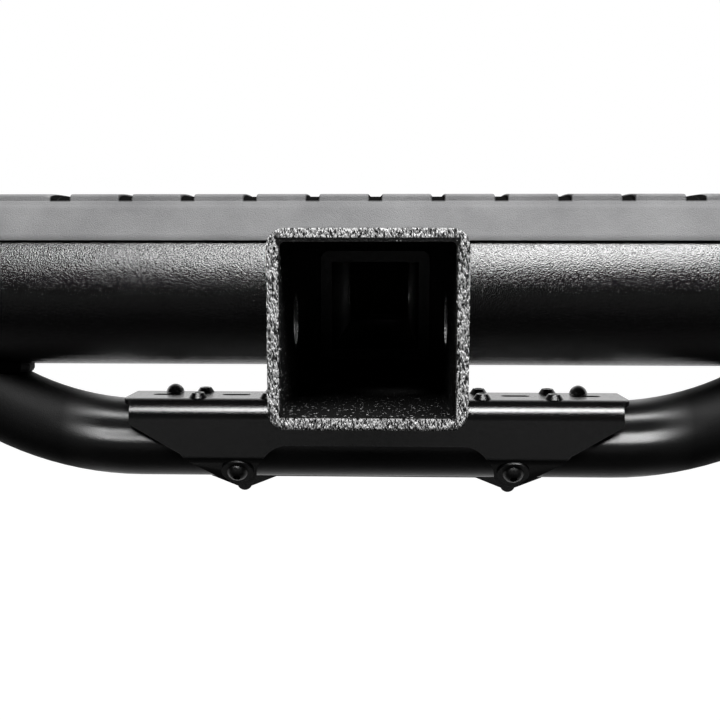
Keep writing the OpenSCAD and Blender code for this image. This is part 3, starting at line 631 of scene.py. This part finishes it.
def creased_black():
    """Finish of the rung: the satin coat over the crease that the bending left. The crease is a
    bell curve of depth over the height above the bent axis, and fades with X."""
    material = satin_black.copy()
    material.name = "creased_black"
    tree = material.node_tree
    shader = tree.nodes["Principled BSDF"]
    _, split = object_place(tree)
    out = maths(tree, "ABSOLUTE", (split, "X"))
    past = maths(tree, "MAXIMUM", maths(tree, "SUBTRACT", out, RUNG_STRAIGHT), 0.0)
    rise = maths(tree, "DIVIDE", maths(tree, "POWER", past, 2.0), 2 * RUNG_BEND_R)
    above = maths(tree, "SUBTRACT", (split, "Z"), RUNG_AXIS_Z + CREASE_RISE)
    above = maths(tree, "SUBTRACT", above, rise)
    scaled = maths(tree, "ABSOLUTE", maths(tree, "DIVIDE", above, CREASE_WIDTH))
    bell = maths(tree, "EXPONENT", product(tree, maths(tree, "POWER", scaled, 2.0), -1.0))
    fade = falling(tree, out, *CREASE_FADE)
    fade.interpolation_type = "SMOOTHSTEP"
    bump = tree.nodes.new("ShaderNodeBump")
    bump.inputs["Strength"].default_value = 1.0
    bump.inputs["Distance"].default_value = 1.0
    wire(tree, product(tree, bell, fade, -CREASE_DEPTH), (bump, "Height"))
    wire(tree, bump, (feed_of(shader, "Normal").node, "Normal"))
    rougher = ramp(tree, out, *DULL_FADE, 0.0, DULL_ROUGHER)
    dull = maths(tree, "ADD", feed_of(shader, "Roughness"), rougher)
    wire(tree, dull, (shader, "Roughness"))
    wire(tree, ramp(tree, out, *DULL_FADE, SHINE, DULL_SHINE), (shader, "Specular IOR Level"))
    return material


dress(creased_black(), "lower_tube")


# Folded tread
# Steel sheet, punched with slots and pierced dimples, folded over the rung and coated. The coat
# is thinner and greyer on the folds and round the dimples.

tread_coat = coated(
    "tread_coat", dark=grey(0.003, 0.0031), light=grey(0.005, 0.0051), edge=grey(0.02),
    grain=0.0006, pimples=0.4, depth=0.00006, gloss=(0.16, 0.25), sharpness=2.0, index=2.0,
)
dress(tread_coat, "tread_bracket")


# Fasteners
# Dark round-headed screws on the tread, black ear screws and washers, and zinc pad screws and
# rivet nuts, which are out of sight. All have a fine, almost smooth finish.

screw_black = coated(
    "screw_black", dark=grey(0.04), light=grey(0.07), edge=grey(0.2),
    grain=0.0005, pimples=0.1, depth=0.00003, gloss=(0.2, 0.3), sharpness=6.0, index=COAT_INDEX,
)
zinc = coated(
    "zinc", dark=grey(0.36, 0.37), light=grey(0.46, 0.47), edge=grey(0.6),
    grain=0.0005, pimples=0.1, depth=0.00003, gloss=(0.3, 0.45), sharpness=3.0,
)
zinc.node_tree.nodes["Principled BSDF"].inputs["Metallic"].default_value = 1.0
dress(screw_black, "tread_screw_left", "tread_screw_right")
dress(satin_black, "ear_screw_left", "ear_screw_right", "ear_washer_left", "ear_washer_right")
dress(zinc, "rivet_nut_left", "rivet_nut_right", "pad_screws")


# Welds
# Beads of weld metal under the coat, round the receiver and the shank, and matt ones round both
# feet of the rung. The solids stay, and the coat hides all but their rounded form.

bead_black = coated(
    "bead_black", dark=grey(0.002, 0.0021), light=grey(0.003, 0.0031), edge=grey(0.004),
    grain=COAT_GRAIN, pimples=0.4, depth=0.0002, gloss=(0.6, 0.7), sharpness=1.0, index=1.2,
)
dress(powder_black, "receiver_weld_rear", "receiver_weld_front", "shank_weld")
dress(bead_black, "rung_weld_left", "rung_weld_right")


# Studio
# White floor and backdrop behind the object, one wide soft box over the camera, a little to the
# right, and a dim room in front of it, which the dark coats mirror as black.

FLOOR_Z = -0.42
FLOOR_TONE = grey(0.2)
FLOOR_MIRRORED = grey(0.02)
FLOOR_GLOW = grey(0.95)
FLOOR_MIRROR_Y = (-0.2, 0.5)
FLOOR_MIRROR_SHARE = 0.9
FLOOR_ROUGHNESS = 0.9
FLOOR_SHINE = 0.1
LAMP_PLACE = (0.24, -0.76, 0.86)
LAMP_AIM = (0.0, -0.2, 0.0)
LAMP_SIZE = (1.5, 0.4)
LAMP_POWER = 20.5
BACKDROP_Y = (0.0, 0.35)
FRONT_Y = (-0.5, -0.8)
FRONT_TOP_Z = (-0.08, -0.03)
FRONT_FOOT_Z = (-0.3, -0.2)
FRONT_GLOW = 0.17
ROOM_GLOW = 0.004
AMBIENT_Y = (-0.2, 0.6)
AMBIENT_GLOW = (0.02, 0.35)


def white_share(tree, behind, ambient):
    """Brightness that is 1 to the camera, takes the mask behind in reflections and through clear
    parts, and the mask ambient to all other rays."""
    path = tree.nodes.new("ShaderNodeLightPath")
    mirrored = maths(tree, "MAXIMUM", (path, "Is Glossy Ray"), (path, "Is Transmission Ray"))
    direct = maths(tree, "MAXIMUM", (path, "Is Camera Ray"), product(tree, mirrored, behind))
    named = maths(tree, "MAXIMUM", (path, "Is Camera Ray"), mirrored)
    plain = product(tree, maths(tree, "SUBTRACT", 1.0, named), ambient)
    return maths(tree, "ADD", direct, plain)


def shadow_floor():
    """White to the camera, with a grey that takes the shadow, white to reflections behind the
    object, and almost black to all others."""
    material = bpy.data.materials.new("studio_floor")
    material.use_nodes = True
    tree = material.node_tree
    shader = tree.nodes["Principled BSDF"]
    seen = tree.nodes.new("ShaderNodeLightPath")
    tone = colour_mix(tree, (seen, "Is Camera Ray"), FLOOR_MIRRORED, FLOOR_TONE)
    wire(tree, tone, (shader, "Base Color"))
    shader.inputs["Roughness"].default_value = FLOOR_ROUGHNESS
    shader.inputs["Specular IOR Level"].default_value = FLOOR_SHINE
    _, split = object_place(tree)
    mirrored = ramp(tree, (split, "Y"), *FLOOR_MIRROR_Y, 0.0, FLOOR_MIRROR_SHARE)
    shader.inputs["Emission Color"].default_value = FLOOR_GLOW
    wire(tree, white_share(tree, mirrored, 0.0), (shader, "Emission Strength"))
    return material


def flat_board(name, low, high, z, material):
    """Board between two corners given in X and Y, level at height z."""
    (x0, y0), (x1, y1) = low, high
    mesh = bpy.data.meshes.new(name)
    mesh.from_pydata([(x0, y0, z), (x1, y0, z), (x1, y1, z), (x0, y1, z)], [], [(0, 1, 2, 3)])
    mesh.materials.append(material)
    board = bpy.data.objects.new(name, mesh)
    bpy.context.collection.objects.link(board)


def soft_lamp(name, place, aim, size, power):
    """Oblong area lamp at a place, turned towards a point."""
    data = bpy.data.lights.new(name, "AREA")
    data.shape = "RECTANGLE"
    data.size, data.size_y = size
    data.energy = power
    lamp = bpy.data.objects.new(name, data)
    bpy.context.collection.objects.link(lamp)
    turn = (Vector(place) - Vector(aim)).to_track_quat("Z", "Y").to_matrix().to_4x4()
    lamp.matrix_world = Matrix.Translation(place) @ turn


def studio_world():
    """White to the camera and to reflections towards the backdrop, a faint band low in front of
    the object, and a dim room elsewhere, by the direction's Y and Z."""
    world = bpy.data.worlds.new("studio")
    world.use_nodes = True
    tree = world.node_tree
    back = tree.nodes["Background"]
    back.inputs["Color"].default_value = grey(1.0)
    coords = tree.nodes.new("ShaderNodeTexCoord")
    split = tree.nodes.new("ShaderNodeSeparateXYZ")
    wire(tree, (coords, "Generated"), split)
    behind = ramp(tree, (split, "Y"), *BACKDROP_Y)
    before = ramp(tree, (split, "Y"), *FRONT_Y, 0.0, FRONT_GLOW)
    below = falling(tree, (split, "Z"), *FRONT_TOP_Z)
    above = ramp(tree, (split, "Z"), *FRONT_FOOT_Z)
    brighter = maths(tree, "MAXIMUM", behind, product(tree, before, product(tree, below, above)))
    room = maths(tree, "ADD", brighter, ROOM_GLOW)
    ambient = ramp(tree, (split, "Y"), *AMBIENT_Y, *AMBIENT_GLOW)
    wire(tree, white_share(tree, room, ambient), (back, "Strength"))
    return world


flat_board("studio_floor", (-4.0, -0.45), (4.0, 6.0), FLOOR_Z, shadow_floor())
soft_lamp("overhead", LAMP_PLACE, LAMP_AIM, LAMP_SIZE, LAMP_POWER)
bpy.context.scene.world = studio_world()
bpy.context.scene.view_settings.view_transform = "Standard"


# Camera
# It looks along the receiver from behind, a little from above, and close to the mouth.

IMAGE_W = 720.0
CAMERA_PLACE = (0.00578, -0.6597, 0.01959)
CAMERA_PITCH = math.radians(-5.747)
CAMERA_YAW = math.radians(-1.635)
CAMERA_ROLL = math.radians(0.069)
FOCAL_PIXELS = 958.3
SENSOR = 36.0
CLIP_START = 0.01


def aimed_camera():
    """Camera that looks along +Y, turned by yaw and pitch and rolled about its own axis."""
    data = bpy.data.cameras.new("camera")
    data.sensor_fit = "HORIZONTAL"
    data.sensor_width = SENSOR
    data.lens = FOCAL_PIXELS / IMAGE_W * SENSOR
    data.clip_start = CLIP_START
    camera = bpy.data.objects.new("camera", data)
    bpy.context.collection.objects.link(camera)
    yaw = Matrix.Rotation(-CAMERA_YAW, 4, "Z")
    pitch = Matrix.Rotation(math.pi / 2 + CAMERA_PITCH, 4, "X")
    roll = Matrix.Rotation(CAMERA_ROLL, 4, "Z")
    camera.matrix_world = Matrix.Translation(CAMERA_PLACE) @ yaw @ pitch @ roll
    return camera


bpy.context.scene.camera = aimed_camera()
